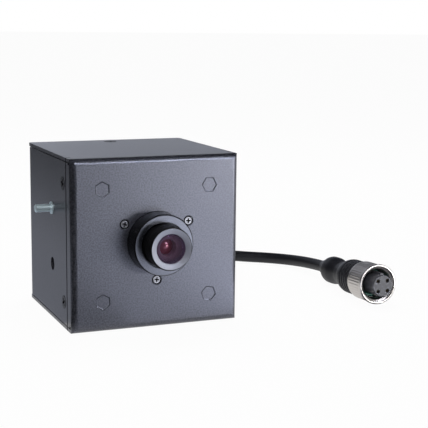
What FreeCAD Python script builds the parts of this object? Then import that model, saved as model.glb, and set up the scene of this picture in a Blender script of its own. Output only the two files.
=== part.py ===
import FreeCAD
import Part
import Sketcher

import math
import os
import re

from FreeCAD import Vector

# Cube network camera: a folded steel box with a screw-in lens, and a short lead that ends in a round
# four-pole connector. The origin is the middle of the box's underside, the lens looks along -Y and
# +Z is up. A size ending in "setback" is measured from the outer front face towards the back.
SIZES = {
    # Folded covers
    "box_width": 61.0,
    "box_depth": 59.0,
    "box_height": 60.0,
    "sheet_thickness": 1.2,
    "bend_radius": 2.1,
    "seam_setback": 5.9,
    "seam_gap": 0.4,
    "lid_corner_radius": 1.2,
    "edge_gap": 0.3,
    "relief_length": 1.4,
    "relief_height": 1.0,
    "tab_overlap": 2.2,
    "tab_reach": 4.4,
    "tab_height": 12.0,
    "lid_tab_width": 20.0,
    "lid_tab_reach": 4.8,
    # Cover screws
    "side_screw_setback": 10.3,
    "side_screw_rise": 20.8,
    "lid_screw_inset": 5.6,
    "cover_screw_head": 2.35,
    "cover_screw_radius": 1.22,
    "cover_screw_length": 5.0,
    "cover_screw_proud": 0.1,
    "cover_cross_length": 2.9,
    "cover_cross_width": 0.75,
    "cover_cross_depth": 0.8,
    "thread_clearance": 0.03,
    "seat_clearance": 0.02,
    # Standoffs clinched in the front, and the spacers between the boards
    "standoff_pitch": 39.0,
    "standoff_flats": 4.9,
    "standoff_clearance": 0.05,
    "standoff_radius": 2.1,
    "standoff_length": 12.0,
    "standoff_thread_depth": 8.0,
    "spacer_flats": 5.0,
    "spacer_length": 12.0,
    "spacer_stud_length": 6.0,
    "spacer_thread_depth": 7.0,
    "board_screw_radius": 1.25,
    "board_screw_length": 7.5,
    "board_screw_head": 2.5,
    "board_screw_head_height": 1.8,
    "board_cross_length": 2.9,
    "board_cross_width": 0.75,
    "board_cross_depth": 1.0,
    # Mounting stud and hole of the left wall
    "side_mount_setback": 25.2,
    "side_mount_spacing": 20.2,
    "side_hole_radius": 2.4,
    "stud_radius": 1.45,
    "stud_reach": 6.2,
    "stud_point": 0.4,
    "stud_collar_radius": 2.25,
    "stud_collar_height": 0.5,
    "stud_head_radius": 2.6,
    "stud_head_height": 0.8,
    # Lens mount
    "lens_height": 30.4,
    "collar_radius": 10.7,
    "collar_reach": 7.5,
    "collar_edge": 0.4,
    "collar_clearance": 0.1,
    "lock_seat_radius": 8.1,
    "lock_seat_depth": 2.9,
    "lock_ring_height": 1.2,
    "lock_ring_clearance": 0.2,
    "gasket_thickness": 0.5,
    "flange_radius": 16.8,
    "flange_thickness": 3.0,
    "skirt_radius": 8.6,
    "skirt_length": 4.0,
    "ledge_radius": 4.2,
    "ledge_thickness": 0.6,
    "filter_radius": 5.4,
    "filter_thickness": 0.7,
    "filter_clearance": 0.1,
    "filter_pocket_depth": 0.9,
    "sensor_pocket_radius": 6.9,
    "sensor_pocket_depth": 1.4,
    "post_radius": 2.4,
    "post_spacing": 23.0,
    # Lens mount screws
    "lens_screw_circle": 13.45,
    "lens_screw_head": 1.5,
    "lens_screw_radius": 1.0,
    "lens_screw_length": 4.2,
    "lens_screw_land": 0.1,
    "lens_screw_countersink": 1.87,
    "lens_cross_length": 1.8,
    "lens_cross_width": 0.5,
    "lens_cross_depth": 0.5,
    # Lens barrel and its glass
    "barrel_radius": 7.45,
    "barrel_reach": 7.2,
    "barrel_insert": 1.4,
    "barrel_edge": 0.3,
    "barrel_face_depth": 0.6,
    "stem_radius": 5.95,
    "stem_running_clearance": 0.05,
    "stem_end_clearance": 0.8,
    "lock_ring_bore_clearance": 0.1,
    "glass_seat_radius": 5.15,
    "glass_seat_depth": 3.5,
    "glass_recess": 0.1,
    "glass_curve": 14.0,
    "glass_clearance": 0.02,
    "iris_radius": 2.4,
    "iris_thickness": 3.2,
    "rear_bore_radius": 4.4,
    "middle_glass_thickness": 3.0,
    "inner_glass_curve": 10.0,
    "glass_spacer_length": 5.4,
    "glass_spacer_wall": 0.9,
    "rear_glass_thickness": 2.6,
    "rear_ring_height": 1.5,
    "rear_ring_wall": 1.3,
    # Sensor board
    "sensor_width": 8.6,
    "sensor_height": 7.4,
    "sensor_thickness": 1.0,
    "sensor_board_size": 30.0,
    "sensor_board_thickness": 1.2,
    "sensor_screw_radius": 1.0,
    "sensor_screw_length": 4.6,
    "sensor_screw_head": 1.9,
    "sensor_screw_head_height": 1.2,
    "sensor_cross_length": 2.1,
    "sensor_cross_width": 0.55,
    "sensor_cross_depth": 0.7,
    "post_thread_depth": 3.6,
    "link_width": 16.0,
    "link_height": 4.2,
    "link_drop": 11.0,
    "link_socket_depth": 1.6,
    # Main board
    "board_width": 48.0,
    "board_height": 50.0,
    "board_thickness": 1.6,
    "processor_rise": 6.0,
    "processor_size": 14.0,
    "processor_thickness": 1.2,
    "thermal_pad_thickness": 0.5,
    "heat_sink_size": 22.0,
    "heat_sink_base": 1.5,
    "heat_sink_depth": 6.5,
    "heat_sink_fin": 1.2,
    "heat_sink_pitch": 5.2,
    "memory_width": 7.5,
    "memory_height": 11.0,
    "memory_thickness": 1.0,
    "memory_gap": 1.0,
    "pin_header_width": 20.0,
    "pin_header_height": 2.5,
    "pin_header_drop": 21.5,
    # Power board
    "power_coil_x": -11.0,
    "power_coil_rise": 9.0,
    "power_coil_width": 14.0,
    "power_coil_height": 12.0,
    "power_coil_depth": 11.0,
    "network_coil_x": 10.0,
    "network_coil_rise": 11.0,
    "network_coil_width": 16.0,
    "network_coil_height": 10.0,
    "network_coil_depth": 5.5,
    "capacitor_radius": 3.15,
    "capacitor_length": 9.0,
    "capacitor_x": -15.0,
    "capacitor_pitch": 7.0,
    "capacitor_drop": 8.0,
    "choke_x": 13.0,
    "choke_drop": 3.0,
    "choke_size": 10.0,
    "choke_depth": 5.0,
    # Lead entry
    "lead_radius": 2.35,
    "lead_exit_x": 11.0,
    "lead_exit_drop": 17.0,
    "lead_socket_width": 10.0,
    "lead_socket_height": 7.0,
    "lead_socket_depth": 6.0,
    "lead_plug_width": 9.0,
    "lead_plug_height": 6.0,
    "lead_plug_depth": 7.0,
    "lead_stop_radius": 4.2,
    "lead_stop_length": 3.0,
    "lead_grip_clearance": 0.02,
    "grommet_neck_radius": 4.45,
    "grommet_clearance": 0.05,
    "grommet_flange_radius": 6.0,
    "grommet_flange_thickness": 2.2,
    "grommet_inner_radius": 5.6,
    "grommet_inner_thickness": 2.0,
    "sleeve_length": 7.8,
    "sleeve_root_radius": 4.4,
    "sleeve_tip_radius": 3.2,
    # Connector at the end of the lead
    "connector_x": 89.03,
    "connector_y": -29.69,
    "connector_yaw": -2.5,
    "connector_tilt": 3.4,
    "floor_gap": 0.05,
    "nut_radius": 7.37,
    "nut_length": 11.3,
    "nut_edge": 0.4,
    "nut_rim_radius": 7.62,
    "nut_rim_length": 1.2,
    "nut_mouth_radius": 6.9,
    "nut_cavity_radius": 5.9,
    "nut_lip_thickness": 1.7,
    "nut_running_clearance": 0.05,
    "nut_end_clearance": 0.1,
    "flute_start": 1.7,
    "flute_length": 8.4,
    "flute_radius": 0.75,
    "flute_depth": 0.15,
    "spigot_radius": 5.15,
    "spigot_flange_radius": 5.6,
    "spigot_flange_thickness": 1.5,
    "grip_gap": 0.3,
    "grip_radius": 6.8,
    "grip_length": 9.4,
    "grip_groove_width": 0.9,
    "grip_groove_depth": 0.4,
    "grip_groove_pitch": 1.9,
    "grip_edge": 0.5,
    "taper_length": 7.5,
    "neck_radius": 4.4,
    "bulb_radius": 5.5,
    "bulb_setback": 37.5,
    "tail_root_radius": 4.2,
    "tail_end_radius": 3.0,
    "tail_end_setback": 46.0,
    "carrier_radius": 4.15,
    "carrier_reach": 3.8,
    "carrier_edge": 0.3,
    "carrier_base_radius": 5.5,
    "carrier_base_thickness": 1.2,
    "carrier_key_width": 1.3,
    "carrier_key_height": 0.6,
    "carrier_key_setback": 0.8,
    "contact_spacing": 3.9,
    "contact_hole_radius": 0.75,
    "contact_hole_depth": 6.0,
    "contact_clearance": 0.02,
    "contact_bore_radius": 0.5,
    "contact_recess": 1.6,
    "seal_section_radius": 0.65,
    "seal_clearance": 0.05,
}
FLUTE_COUNT = 40
FIN_COUNT = 5
CAPACITOR_COUNT = 3
GRIP_GROOVE_COUNT = 4
HEX_CORNERS = 6
FULL_TURN = 360

# Angle of each clinched hexagon, and of each screw's cross, as they happen to be turned
STANDOFF_TURNS = (32, 58, 33, 49)
COVER_SCREW_TURNS = (20, 64, 33, 5)
LENS_SCREW_TURNS = {30: 25, 150: 60, 270: 8}

# Bends of the free lead between the sleeve and the connector, where it lies on the floor
LEAD_BENDS = [
    (18.9, 70.7, 8.5),
    (34.9, 79.0, 5.1),
    (52.3, 76.3, 3.6),
    (68.7, 63.6, 2.5),
    (86.3, 50.9, 2.6),
]
LEAD_FIRST_RUN = 15.0
LEAD_LAST_RUN = 12.1
BEND_SHARE = 0.45

doc = FreeCAD.newDocument("CubeCamera")
sheet = doc.addObject("Spreadsheet::Sheet", "Sizes")
for row, (name, value) in enumerate(SIZES.items(), start=1):
    sheet.set(f"A{row}", name)
    sheet.set(f"B{row}", str(value))
    sheet.setAlias(f"B{row}", name)
doc.recompute()

# Places along the depth, as sums of the sizes above
FRONT = "(-box_depth / 2)"
MIDDLE = "(box_height / 2)"
FLANGE_FRONT = "(sheet_thickness + gasket_thickness)"
FLANGE_REAR = f"({FLANGE_FRONT} + flange_thickness)"
MOUNT_REAR = f"({FLANGE_REAR} + skirt_length)"
SENSOR_POCKET = f"({MOUNT_REAR} - sensor_pocket_depth)"
FILTER_SEAT = f"({SENSOR_POCKET} - filter_pocket_depth)"
LEDGE_FRONT = f"({FILTER_SEAT} - ledge_thickness)"
LOCK_SEAT = "(lock_seat_depth - collar_reach)"
BARREL_FRONT = "(-collar_reach - barrel_reach)"
IRIS_FRONT = f"({BARREL_FRONT} + glass_seat_depth)"
IRIS_REAR = f"({IRIS_FRONT} + iris_thickness)"
SPACER_FRONT = f"({IRIS_REAR} + middle_glass_thickness)"
REAR_GLASS_FRONT = f"({SPACER_FRONT} + glass_spacer_length)"
REAR_RING_FRONT = f"({REAR_GLASS_FRONT} + rear_glass_thickness)"
SENSOR_BOARD_REAR = f"({MOUNT_REAR} + sensor_board_thickness)"
MAIN_BOARD_FRONT = "(sheet_thickness + standoff_length)"
MAIN_BOARD_REAR = f"({MAIN_BOARD_FRONT} + board_thickness)"
PAD_FRONT = f"({MAIN_BOARD_REAR} + processor_thickness)"
SINK_FRONT = f"({PAD_FRONT} + thermal_pad_thickness)"
POWER_BOARD_FRONT = f"({MAIN_BOARD_REAR} + spacer_length)"
POWER_BOARD_REAR = f"({POWER_BOARD_FRONT} + board_thickness)"
PLUG_FRONT = f"({POWER_BOARD_REAR} + lead_socket_depth)"
PLUG_REAR = f"({PLUG_FRONT} + lead_plug_depth)"
GROMMET_FRONT = "(box_depth - sheet_thickness - grommet_inner_thickness)"
SLEEVE_END = "(box_depth + grommet_flange_thickness + sleeve_length)"
INNER_BEND = "(bend_radius - sheet_thickness)"
COVER_THREAD = "(cover_screw_radius + thread_clearance)"
COVER_SINK = "cover_screw_head"
FOOT_SINK = "(cover_screw_head + cover_screw_proud)"
LENS_THREAD = "(lens_screw_radius + thread_clearance)"
SENSOR_THREAD = "(sensor_screw_radius + thread_clearance)"
BOARD_THREAD = "(board_screw_radius + thread_clearance)"
CHIP_HEIGHT = f"({MIDDLE} + processor_rise)"
LEAD_EXIT = f"({MIDDLE} - lead_exit_drop)"
CONNECTOR_Z = "(nut_radius * cos(connector_tilt) + nut_length * sin(connector_tilt) + floor_gap)"
SPIGOT_LIP = "(nut_length - nut_lip_thickness)"
SPIGOT_FLANGE_REAR = f"({SPIGOT_LIP} - nut_end_clearance)"
SPIGOT_FRONT = f"({SPIGOT_FLANGE_REAR} - spigot_flange_thickness)"
GRIP_FRONT = "(nut_length + grip_gap)"

# Directions in which a piece's own +Y axis can point: yaw, pitch and roll
BACKWARD = "0; 0; 0"
FORWARD = "180; 0; 0"
LEFTWARD = "90; 0; 0"
UPWARD = "0; 0; 90"
DOWNWARD = "0; 0; -90"


def bound(text):
    """Point every size name in a formula at its cell of the sheet."""
    return re.sub(r"[a-z]+_[a-z_]+", lambda match: "Sizes." + match.group(), str(text))


def number(text):
    """Value of a formula with the sheet's present sizes."""
    return float(sheet.evalExpression(bound(text)))


def place(piece, at, turn=BACKWARD):
    """Tie a piece's position and direction to the sheet."""
    spot = "; ".join(bound(value) for value in at)
    piece.setExpression("Placement", f"placement(vector({spot}); rotation({bound(turn)}))")


def new_body(label, at, turn=BACKWARD):
    """Empty body whose own frame stands at a place given by formulas."""
    body = doc.addObject("PartDesign::Body", label)
    place(body, at, turn)
    return body


def sketch(body, plane, offset="0"):
    """Sketch on one of the body's own planes, moved along that plane's normal."""
    drawing = body.newObject("Sketcher::SketchObject", body.Name + "_sketch")
    support = next(item for item in body.Origin.OriginFeatures if item.Role == plane)
    drawing.AttachmentSupport = [(support, "")]
    drawing.MapMode = "FlatFace"
    drawing.setExpression("AttachmentOffset.Base.z", bound(offset))
    return drawing


def fix(drawing, geometry, point, x, y):
    """Hold a point of the sketch at two bound distances from its origin."""
    for kind, value in (("DistanceX", x), ("DistanceY", y)):
        rule = Sketcher.Constraint(kind, -1, 1, geometry, point, number(value))
        index = drawing.addConstraint(rule)
        drawing.setExpression(f"Constraints[{index}]", bound(value))


def outline(drawing, corners):
    """Closed outline of straight sides through corners given as formulas."""
    points = [Vector(number(x), number(y)) for x, y in corners]
    first = drawing.GeometryCount
    for start, end in zip(points, points[1:] + points[:1]):
        drawing.addGeometry(Part.LineSegment(start, end))
    for index, (x, y) in enumerate(corners):
        following = first + (index + 1) % len(corners)
        drawing.addConstraint(Sketcher.Constraint("Coincident", first + index, 2, following, 1))
        fix(drawing, first + index, 1, x, y)


def circle(drawing, x, y, radius):
    """Circle with a bound centre and radius."""
    shape = Part.Circle(Vector(number(x), number(y)), Vector(0, 0, 1), number(radius))
    index = drawing.addGeometry(shape)
    fix(drawing, index, 3, x, y)
    size = drawing.addConstraint(Sketcher.Constraint("Radius", index, number(radius)))
    drawing.setExpression(f"Constraints[{size}]", bound(radius))


def rectangle(x_low, x_high, y_low, y_high):
    """Corners of an upright rectangle."""
    return [(x_low, y_low), (x_high, y_low), (x_high, y_high), (x_low, y_high)]


def hexagon(x, y, flats, turn):
    """Corners of a hexagon by its width across flats."""
    reach = f"({flats}) / (2 * cos(30))"
    angles = [turn + FULL_TURN / HEX_CORNERS * step for step in range(HEX_CORNERS)]
    return [(f"{x} + {reach} * cos({angle})", f"{y} + {reach} * sin({angle})") for angle in angles]


def cross(length, width):
    """Corners of a cross recess."""
    arm = f"({length} / 2)"
    side = f"({width} / 2)"
    quarter = [(arm, side), (side, side), (side, arm)]
    signs = [(1, 1), (-1, 1), (-1, -1), (1, -1)]
    corners = []
    for index, (sign_x, sign_y) in enumerate(signs):
        ordered = quarter if index % 2 == 0 else quarter[::-1]
        corners += [(f"{sign_x} * {x}", f"{sign_y} * {y}") for x, y in ordered]
    return corners


def pad(body, drawing, length, reverse=False):
    """Raise a sketch along its normal, or against it."""
    feature = body.newObject("PartDesign::Pad", body.Name + "_pad")
    feature.Profile = drawing
    feature.setExpression("Length", bound(length))
    feature.Reversed = reverse
    doc.recompute()
    return feature


def pocket(body, drawing, depth, reverse=False):
    """Sink a sketch against its normal, or along it, and make sure that it removes something."""
    before = body.Shape.Volume
    feature = body.newObject("PartDesign::Pocket", body.Name + "_pocket")
    feature.Profile = drawing
    feature.setExpression("Length", bound(depth))
    feature.Reversed = reverse
    doc.recompute()
    if not body.Shape.Volume < before:
        raise ValueError(f"{feature.Name} removes nothing")
    return feature


def pocket_both_sides(body, drawing):
    """Sink a sketch right through the body on both sides of its plane."""
    before = body.Shape.Volume
    feature = body.newObject("PartDesign::Pocket", body.Name + "_pocket")
    feature.Profile = drawing
    feature.SideType = "Symmetric"
    feature.Type = "ThroughAll"
    doc.recompute()
    if not body.Shape.Volume < before:
        raise ValueError(f"{feature.Name} removes nothing")


def countersunk_hole(body, drawing, radius, sink_radius, reverse=False):
    """Countersunk through holes at the circles of a sketch on the sheet's outer face."""
    before = body.Shape.Volume
    doc.recompute()
    feature = body.newObject("PartDesign::Hole", body.Name + "_hole")
    feature.Profile = drawing
    feature.Reversed = reverse
    feature.DepthType = "Dimension"
    feature.DrillPoint = "Flat"
    feature.HoleCutType = "Countersink"
    feature.HoleCutCustomValues = True
    feature.HoleCutCountersinkAngle = 90
    feature.setExpression("Depth", bound("2 * sheet_thickness"))
    feature.setExpression("Diameter", bound(f"2 * ({radius})"))
    feature.setExpression("HoleCutDiameter", bound(f"2 * ({sink_radius})"))
    doc.recompute()
    if not body.Shape.Volume < before:
        raise ValueError(f"{feature.Name} removes nothing")


def revolve(body, drawing):
    """Turn a sketch of the XY plane about the body's own Y axis."""
    feature = body.newObject("PartDesign::Revolution", body.Name + "_turning")
    feature.Profile = drawing
    feature.ReferenceAxis = (drawing, ["V_Axis"])
    feature.Angle = FULL_TURN
    doc.recompute()


def turned(label, corners, at, turn=BACKWARD):
    """Body turned about its own Y axis from corners given as (radius, distance along the axis)."""
    body = new_body(label, at, turn)
    drawing = sketch(body, "XY_Plane")
    outline(drawing, corners)
    revolve(body, drawing)
    return body


def ring(label, inner, outer, start, end, at, turn=BACKWARD):
    """Plain turned ring."""
    return turned(label, rectangle(inner, outer, start, end), at, turn)


def plate(label, setback, thickness, corners, holes=()):
    """Flat piece across the box: corners and holes in X and Z, thickness towards the back."""
    body = new_body(label, ("0", f"{FRONT} + {setback}", "0"))
    drawing = sketch(body, "XZ_Plane")
    outline(drawing, corners)
    for x, z, radius in holes:
        circle(drawing, x, z, radius)
    pad(body, drawing, thickness, reverse=True)
    return body


def block(label, x, z, setback, width, height, depth):
    """Box-shaped piece by the middle of its front face."""
    piece = doc.addObject("Part::Box", label)
    piece.setExpression("Length", bound(width))
    piece.setExpression("Width", bound(depth))
    piece.setExpression("Height", bound(height))
    place(piece, (f"{x} - {width} / 2", f"{FRONT} + {setback}", f"{z} - {height} / 2"))
    return piece


def group(label, pieces):
    """Several separate solids of one kind under one name."""
    result = doc.addObject("Part::Compound", label)
    result.Links = pieces
    return result


def edges_where(shape, test):
    """Names of the edges whose every end point passes a test."""
    named = enumerate(shape.Edges, start=1)
    return [f"Edge{index}" for index, edge in named if all(test(v.Point) for v in edge.Vertexes)]


def upright_edges(shape, test):
    """Names of the edges along Z whose ends pass a test."""
    names = edges_where(shape, test)
    return [name for name in names if abs(shape.getElement(name).tangentAt(0).z) > 0.5]


def near(value, formula):
    """Whether a coordinate lies on a plane given by a formula."""
    return math.isclose(value, number(formula), abs_tol=1e-6)


def bend(body, solid, edges, radius):
    """Round the named edges of a folded sheet."""
    feature = body.newObject("PartDesign::Fillet", body.Name + "_bend")
    feature.Base = (solid, edges)
    feature.setExpression("Radius", bound(radius))
    doc.recompute()


def standoff_places():
    """Centres of the four standoffs on the front, as seen from in front."""
    half = "standoff_pitch / 2"
    signs = ((-1, 1), (1, 1), (-1, -1), (1, -1))
    return [(f"({x} * {half})", f"({MIDDLE} + {z} * {half})") for x, z in signs]


def lens_screw_places():
    """Centres of the three lens mount screws about the lens axis."""
    reach = "lens_screw_circle"
    return [(f"({reach} * cos({a}))", f"({reach} * sin({a}))", turn) for a, turn in LENS_SCREW_TURNS.items()]


def side_screw_heights():
    """Heights of the upper and the lower screw of each side."""
    return [f"({MIDDLE} + side_screw_rise)", f"({MIDDLE} - side_screw_rise)"]


def front_cover():
    """Folded sheet: front with full top and bottom, short side returns and four screw tabs."""
    body = new_body("front_cover", ("0", FRONT, "0"))
    drawing = sketch(body, "XY_Plane")
    outline(drawing, rectangle("-box_width / 2", "box_width / 2", "0", "box_depth"))
    solid = pad(body, drawing, "box_height")
    bend(body, solid, upright_edges(solid.Shape, lambda p: near(p.y, "box_depth")), "lid_corner_radius")
    bend(body, body.Tip, edges_where(body.Tip.Shape, lambda p: near(p.y, "0")), "bend_radius")
    lid_under = "(box_height - sheet_thickness)"
    inside = "(box_width / 2 - sheet_thickness)"
    hollow = sketch(body, "XZ_Plane", "-sheet_thickness")
    outline(hollow, rectangle(f"-{inside}", inside, "sheet_thickness", lid_under))
    shell = pocket(body, hollow, "box_depth")
    bend(body, shell, edges_where(shell.Shape, lambda p: near(p.y, "sheet_thickness")), INNER_BEND)

    # Sides end at the seam, and slits with corner reliefs part the returns from top and bottom
    past_back = "(box_depth + sheet_thickness)"
    sides = sketch(body, "YZ_Plane")
    outline(sides, rectangle("seam_setback", past_back, "sheet_thickness", lid_under))
    pocket_both_sides(body, sides)
    slits = sketch(body, "YZ_Plane")
    past_seam = "(seam_setback + sheet_thickness)"
    relief_end = "(bend_radius + relief_length)"
    for wall, sign in ((lid_under, "-"), ("sheet_thickness", "+")):
        slit = f"({wall} {sign} edge_gap)"
        relief = f"({wall} {sign} relief_height)"
        outline(slits, [
            ("bend_radius", wall),
            (past_seam, wall),
            (past_seam, slit),
            (relief_end, slit),
            (relief_end, relief),
            ("bend_radius", relief),
        ])
    pocket_both_sides(body, slits)

    # Screw tabs set in by one sheet, behind the rear cover's sides
    tab_start = "(seam_setback - tab_overlap)"
    tab_end = "(side_screw_setback + tab_reach)"
    for sign, reverse in ((-1, False), (1, True)):
        tabs = sketch(body, "YZ_Plane", f"{sign} * (box_width / 2 - sheet_thickness)")
        for height in side_screw_heights():
            outline(tabs, rectangle(
                tab_start, tab_end, f"{height} - tab_height / 2", f"{height} + tab_height / 2"))
        pad(body, tabs, "sheet_thickness", reverse)
    threads = sketch(body, "YZ_Plane")
    for height in side_screw_heights():
        circle(threads, "side_screw_setback", height, COVER_THREAD)
    pocket_both_sides(body, threads)

    # Openings of the front: lens collar and clinched hexagons
    openings = sketch(body, "XZ_Plane")
    circle(openings, "0", "lens_height", "collar_radius + collar_clearance")
    for (x, z), turn in zip(standoff_places(), STANDOFF_TURNS):
        outline(openings, hexagon(x, z, "standoff_flats + 2 * standoff_clearance", turn))
    pocket(body, openings, "2 * sheet_thickness")
    lens_screws = sketch(body, "XZ_Plane")
    for x, z, _ in lens_screw_places():
        circle(lens_screws, x, f"lens_height + {z}", LENS_THREAD)
    countersunk_hole(body, lens_screws, LENS_THREAD, "lens_screw_countersink")

    # Screws near the rear edge of the top and of the bottom
    lid_screw = "(box_depth - lid_screw_inset)"
    for height, sink, reverse in (("box_height", COVER_SINK, False), ("0", FOOT_SINK, True)):
        lid = sketch(body, "XY_Plane", height)
        circle(lid, "0", lid_screw, COVER_THREAD)
        countersunk_hole(body, lid, COVER_THREAD, f"{sink} + seat_clearance", reverse)
    return body


def rear_cover():
    """Folded sheet: two sides and the back, with a tab under the top and one over the bottom."""
    body = new_body("rear_cover", ("0", FRONT, "0"))
    seam = "(seam_setback + seam_gap)"
    lower_edge = "(sheet_thickness + edge_gap)"
    drawing = sketch(body, "XY_Plane", lower_edge)
    outline(drawing, rectangle("-box_width / 2", "box_width / 2", seam, "box_depth"))
    height = f"(box_height - 2 * {lower_edge})"
    solid = pad(body, drawing, height)
    bend(body, solid, upright_edges(solid.Shape, lambda p: near(p.y, "box_depth")), "bend_radius")
    inside = "(box_width / 2 - sheet_thickness)"
    back_inside = "(box_depth - sheet_thickness)"
    hollow = sketch(body, "XY_Plane", "box_height")
    outline(hollow, rectangle(f"-{inside}", inside, f"{seam} - sheet_thickness", back_inside))
    shell = pocket(body, hollow, "box_height")
    bend(body, shell, upright_edges(shell.Shape, lambda p: near(p.y, back_inside)), INNER_BEND)

    # Tabs that carry the screws of the top and the bottom
    lid_screw = "(box_depth - lid_screw_inset)"
    tab_corners = rectangle(
        "-lid_tab_width / 2", "lid_tab_width / 2", f"({lid_screw} - lid_tab_reach)", "box_depth")
    for base in ("(box_height - 2 * sheet_thickness)", "sheet_thickness"):
        tab = sketch(body, "XY_Plane", base)
        outline(tab, tab_corners)
        circle(tab, "0", lid_screw, COVER_THREAD)
        pad(body, tab, "sheet_thickness")

    # Countersunk screw holes of both sides
    for sign, reverse in ((-1, True), (1, False)):
        screws = sketch(body, "YZ_Plane", f"{sign} * box_width / 2")
        for screw_height in side_screw_heights():
            circle(screws, "side_screw_setback", screw_height, COVER_THREAD)
        countersunk_hole(body, screws, COVER_THREAD, f"{COVER_SINK} + seat_clearance", reverse)

    # Stud and plain hole of the left side, grommet hole of the back
    side = sketch(body, "YZ_Plane", "-box_width / 2")
    circle(side, "side_mount_setback", f"{MIDDLE} + side_mount_spacing / 2", "stud_radius + thread_clearance")
    circle(side, "side_mount_setback", f"{MIDDLE} - side_mount_spacing / 2", "side_hole_radius")
    pocket(body, side, "2 * sheet_thickness", reverse=True)
    back = sketch(body, "XZ_Plane", "2 * sheet_thickness - box_depth")
    circle(back, "lead_exit_x", LEAD_EXIT, "grommet_neck_radius + grommet_clearance")
    pocket(body, back, "3 * sheet_thickness")
    return body


def screw(label, corners, recess_start, recess, recess_depth, at, turn):
    """Turned screw with a cross sunk into its head; its own +Y axis points into the work."""
    body = turned(label, corners, at, turn)
    slot = sketch(body, "XZ_Plane", f"-({recess_start})")
    outline(slot, recess)
    pocket(body, slot, recess_depth)
    return body


def countersunk_screw(label, kind, sink, land, at, turn):
    """Countersunk screw seated in its cone, by the prefix of its sizes."""
    start = f"({sink} - {kind}_screw_head)"
    top = f"({start} - {land})"
    corners = [
        ("0", top),
        (f"{kind}_screw_head", top),
        (f"{kind}_screw_head", start),
        (f"{kind}_screw_radius", f"{start} + {kind}_screw_head - {kind}_screw_radius"),
        (f"{kind}_screw_radius", f"{kind}_screw_length"),
        ("0", f"{kind}_screw_length"),
    ]
    recess = cross(f"{kind}_cross_length", f"{kind}_cross_width")
    return screw(label, corners, top, recess, f"{kind}_cross_depth", at, turn)


def pan_screw(label, kind, at, turn):
    """Screw with a flat round head, by the prefix of its sizes."""
    top = f"(-{kind}_screw_head_height)"
    corners = [
        ("0", top),
        (f"{kind}_screw_head", top),
        (f"{kind}_screw_head", "0"),
        (f"{kind}_screw_radius", "0"),
        (f"{kind}_screw_radius", f"{kind}_screw_length"),
        ("0", f"{kind}_screw_length"),
    ]
    recess = cross(f"{kind}_cross_length", f"{kind}_cross_width")
    return screw(label, corners, top, recess, f"{kind}_cross_depth", at, turn)


def cover_screws():
    """Two screws in each side and one each in the top and the bottom."""
    side_y = f"{FRONT} + side_screw_setback"
    lid_y = "box_depth / 2 - lid_screw_inset"
    turns = iter(COVER_SCREW_TURNS)
    places = []
    for x, yaw in (("-box_width / 2", -90), ("box_width / 2", 90)):
        for height in side_screw_heights():
            places.append((COVER_SINK, (x, side_y, height), f"{yaw}; {next(turns)}; 0"))
    places.append((COVER_SINK, ("0", lid_y, "box_height"), DOWNWARD))
    places.append((FOOT_SINK, ("0", lid_y, "0"), UPWARD))
    screws = [
        countersunk_screw(f"cover_screw_{index}", "cover", sink, "cover_screw_proud", at, turn)
        for index, (sink, at, turn) in enumerate(places, start=1)
    ]
    return group("cover_screws", screws)


def board_standoffs():
    """Four standoffs: hexagon flush in the front, round body with a threaded hole behind it."""
    pieces = []
    thread_start = f"({MAIN_BOARD_FRONT} - standoff_thread_depth)"
    for index, ((x, z), turn) in enumerate(zip(standoff_places(), STANDOFF_TURNS), start=1):
        body = new_body(f"standoff_{index}", (x, FRONT, z))
        head = sketch(body, "XZ_Plane")
        outline(head, hexagon("0", "0", "standoff_flats", turn))
        pad(body, head, "sheet_thickness", reverse=True)
        shank = sketch(body, "XZ_Plane", "-sheet_thickness")
        circle(shank, "0", "0", "standoff_radius")
        pad(body, shank, "standoff_length", reverse=True)
        thread = sketch(body, "XZ_Plane", f"-{thread_start}")
        circle(thread, "0", "0", BOARD_THREAD)
        pocket(body, thread, "standoff_thread_depth")
        pieces.append(body)
    return group("board_standoffs", pieces)


def side_stud():
    """Threaded stud pressed through the left side, held by an inner head and a thin collar."""
    inside = "(-sheet_thickness)"
    corners = [
        ("0", f"{inside} - stud_head_height"),
        ("stud_head_radius", f"{inside} - stud_head_height"),
        ("stud_head_radius", inside),
        ("stud_radius", inside),
        ("stud_radius", "0"),
        ("stud_collar_radius", "0"),
        ("stud_collar_radius", "stud_collar_height"),
        ("stud_radius", "stud_collar_height"),
        ("stud_radius", "stud_reach - stud_point"),
        ("stud_radius - stud_point", "stud_reach"),
        ("0", "stud_reach"),
    ]
    at = ("-box_width / 2", f"{FRONT} + side_mount_setback", f"{MIDDLE} + side_mount_spacing / 2")
    return turned("side_stud", corners, at, LEFTWARD)


LENS_AXIS = ("0", FRONT, "lens_height")


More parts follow.
